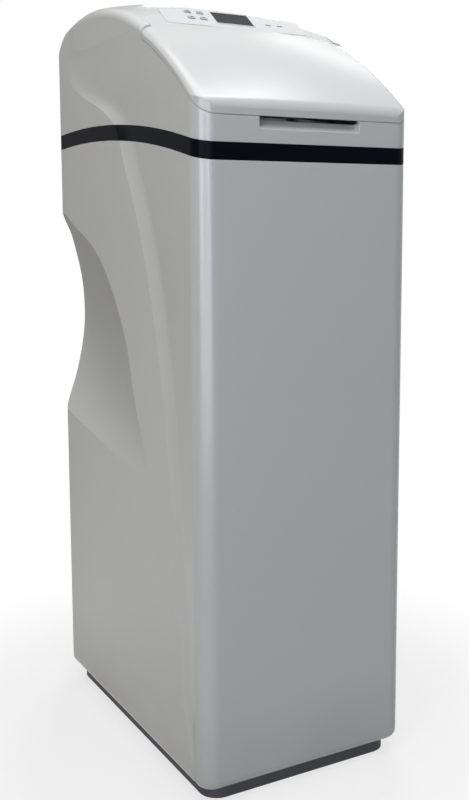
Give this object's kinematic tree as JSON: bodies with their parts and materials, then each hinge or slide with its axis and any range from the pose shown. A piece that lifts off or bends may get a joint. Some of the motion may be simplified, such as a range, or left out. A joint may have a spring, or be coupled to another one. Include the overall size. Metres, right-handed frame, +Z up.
{
  "type": "cabinet water softener",
  "caption": "Tall cabinet water softener with hinged salt lid, control panel, pressure tank, rotary valve and brine well.",
  "frame": {"origin": "on the floor under the middle of the cabinet", "axes": "+Z up, -Y towards the front with the salt lid, +Y towards the pipes at the back"},
  "size_m": [0.3208, 0.5, 1.0811],
  "materials": {
    "shell_white": "smooth gloss moulded shell",
    "plinth_grey": "fine grain",
    "band_dark": "gloss",
    "fascia_grey": "satin",
    "window_dark": "clear gloss over a dark display",
    "button_grey": "satin",
    "light_green": "translucent",
    "board_green": "solder mask",
    "module_grey": "moulded",
    "steel": "zinc plated",
    "rubber_black": "matt",
    "lead_black": "matt sheath",
    "tank_blue": "wound glass fibre, gloss resin",
    "black_plastic": "glass-filled, satin",
    "resin_amber": "loose beads",
    "gravel_stone": "loose stones",
    "pipe_white": "extruded",
    "ceramic_white": "lapped ceramic",
    "gear_natural": "moulded",
    "motor_metal": "plated can",
    "knob_blue": "satin",
    "handle_red": "satin",
    "well_white": "extruded",
    "float_white": "moulded",
    "line_clear": "milky tube",
    "grid_grey": "moulded"
  },
  "bodies": {
    "cabinet": {"base_plinth": "plinth_grey", "cabinet_shell": "shell_white", "trim_band": "band_dark", "hood_shell": "shell_white", "lid_hinge_pins": "steel", "lid_seal": "rubber_black", "panel_fascia": "fascia_grey", "display_window": "window_dark", "display_module": "module_grey", "indicator_lights": "light_green", "control_board": "board_green", "board_screws": "steel", "board_lead": "lead_black", "shell_screws": "steel", "power_inlet": "black_plastic", "pressure_tank": "tank_blue", "tank_boot": "black_plastic", "gravel_bed": "gravel_stone", "resin_bed": "resin_amber", "riser_tube": "pipe_white", "bottom_strainer": "black_plastic", "top_strainer": "black_plastic", "valve_body": "black_plastic", "fixed_disc": "ceramic_white", "drive_deck": "black_plastic", "deck_screws": "steel", "drive_motor": "motor_metal", "drive_cover": "black_plastic", "injector_plug": "knob_blue", "drain_elbow": "black_plastic", "turbine_cage": "black_plastic", "bypass_body": "black_plastic", "inlet_connector": "black_plastic", "outlet_connector": "black_plastic", "port_seals": "rubber_black", "coupling_clips": "handle_red", "brine_well": "well_white", "pickup_rod": "pipe_white", "brine_line": "line_clear", "salt_grid": "grid_grey", "overflow_fitting": "black_plastic", "overflow_gasket": "rubber_black", "overflow_nut": "black_plastic"},
    "lid": {"salt_lid": "shell_white"},
    "menu_key": {"button_menu": "button_grey"},
    "set_key": {"button_set": "button_grey"},
    "up_key": {"button_up": "button_grey"},
    "down_key": {"button_down": "button_grey"},
    "valve_rotor": {"moving_disc": "ceramic_white", "valve_stem": "steel", "drive_gear": "gear_natural"},
    "pinion": {"motor_pinion": "gear_natural"},
    "turbine": {"flow_turbine": "gear_natural"},
    "inlet_plug": {"bypass_knob_inlet": "handle_red"},
    "outlet_plug": {"bypass_knob_outlet": "handle_red"},
    "float": {"safety_float": "float_white"},
    "well_cap": {"brine_well_cap": "well_white"}
  },
  "joints": [
    {"name": "lid_hinge", "type": "hinge", "parent": "cabinet", "child": "lid", "pos_m": [0, -0.092, 1.01], "axis": [-1, 0, 0], "range_deg": [0, 110]},
    {"name": "menu_key_press", "type": "slide", "parent": "cabinet", "child": "menu_key", "axis": [0, 0.6, -0.8], "range_m": [0, 0.001], "stiffness_N_per_m": 400, "springref_m": -0.001},
    {"name": "set_key_press", "type": "slide", "parent": "cabinet", "child": "set_key", "axis": [0, 0.6, -0.8], "range_m": [0, 0.001], "stiffness_N_per_m": 400, "springref_m": -0.001},
    {"name": "up_key_press", "type": "slide", "parent": "cabinet", "child": "up_key", "axis": [0, 0.6, -0.8], "range_m": [0, 0.001], "stiffness_N_per_m": 400, "springref_m": -0.001},
    {"name": "down_key_press", "type": "slide", "parent": "cabinet", "child": "down_key", "axis": [0, 0.6, -0.8], "range_m": [0, 0.001], "stiffness_N_per_m": 400, "springref_m": -0.001},
    {"name": "rotor_spin", "type": "hinge", "parent": "cabinet", "child": "valve_rotor", "pos_m": [0, 0.112, 1.007], "axis": [0, 0, 1], "continuous": true},
    {"name": "pinion_spin", "type": "hinge", "parent": "cabinet", "child": "pinion", "pos_m": [0, 0.07438, 1.007], "axis": [0, 0, 1], "continuous": true},
    {"name": "turbine_spin", "type": "hinge", "parent": "cabinet", "child": "turbine", "pos_m": [0.04, 0.1695, 0.963], "axis": [0, 1, 0], "continuous": true},
    {"name": "inlet_plug_turn", "type": "hinge", "parent": "cabinet", "child": "inlet_plug", "pos_m": [-0.04, 0.2, 0.996], "axis": [0, 0, 1], "range_deg": [0, 90]},
    {"name": "outlet_plug_turn", "type": "hinge", "parent": "cabinet", "child": "outlet_plug", "pos_m": [0.04, 0.2, 0.996], "axis": [0, 0, 1], "range_deg": [0, 90]},
    {"name": "float_rise", "type": "slide", "parent": "cabinet", "child": "float", "axis": [0, 0, 1], "range_m": [0, 0.3]},
    {"name": "well_cap_lift", "type": "slide", "parent": "cabinet", "child": "well_cap", "axis": [0, 0, 1], "range_m": [0, 0.03]}
  ],
  "couplings": [
    {"joint": "pinion_spin", "follows": "rotor_spin", "ratio": -4}
  ]
}
